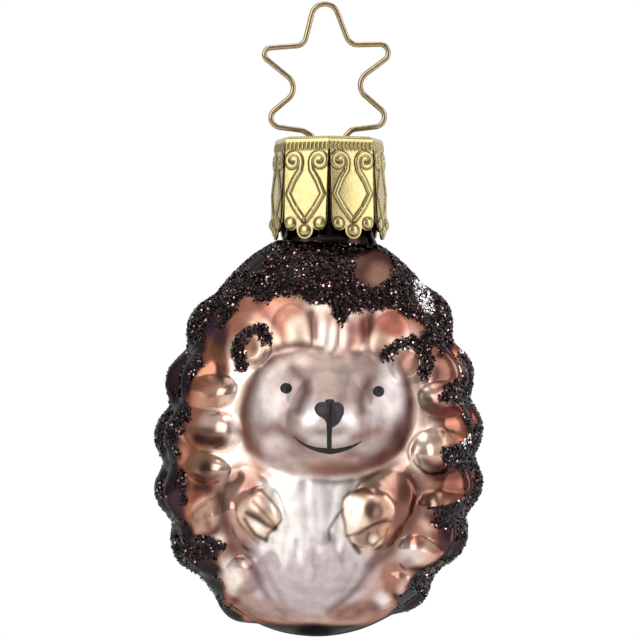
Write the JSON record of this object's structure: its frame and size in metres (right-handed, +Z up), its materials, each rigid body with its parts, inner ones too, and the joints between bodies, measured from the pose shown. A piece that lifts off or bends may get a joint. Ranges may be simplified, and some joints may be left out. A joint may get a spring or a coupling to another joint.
{
  "type": "hanging glass ornament",
  "caption": "Blown-glass hedgehog ornament with a stamped crown cap on its neck and a star-shaped wire hanger.",
  "frame": {"origin": "the hang point, on the inside of the star's top bend, above the ornament's centre of mass to within 2 mm", "axes": "+Z up along the hanging line, -Y the way the hedgehog faces, +X to the right in the front view"},
  "size_m": [0.0393, 0.0376, 0.0756],
  "materials": {
    "gold_wire": "drawn spring wire, gold-bronze, bright",
    "gold_cap": "thin stamped sheet, pale gold, bright",
    "lacquered_glass": "silvered inside, gloss dark brown, copper and champagne lacquer outside, with glitter"
  },
  "bodies": {
    "hanger": {"star_hanger": "gold_wire"},
    "cap": {"crown_cap": "gold_cap"},
    "glass": {"glass_body": "lacquered_glass"}
  },
  "joints": [
    {"name": "wire_slide", "type": "slide", "parent": "hanger", "child": "cap", "axis": [0, 0, 1], "range_m": [-0.003, 0]},
    {"name": "glass_pull", "type": "slide", "parent": "cap", "child": "glass", "axis": [0, 0, 1], "range_m": [-0.03, 0]}
  ]
}
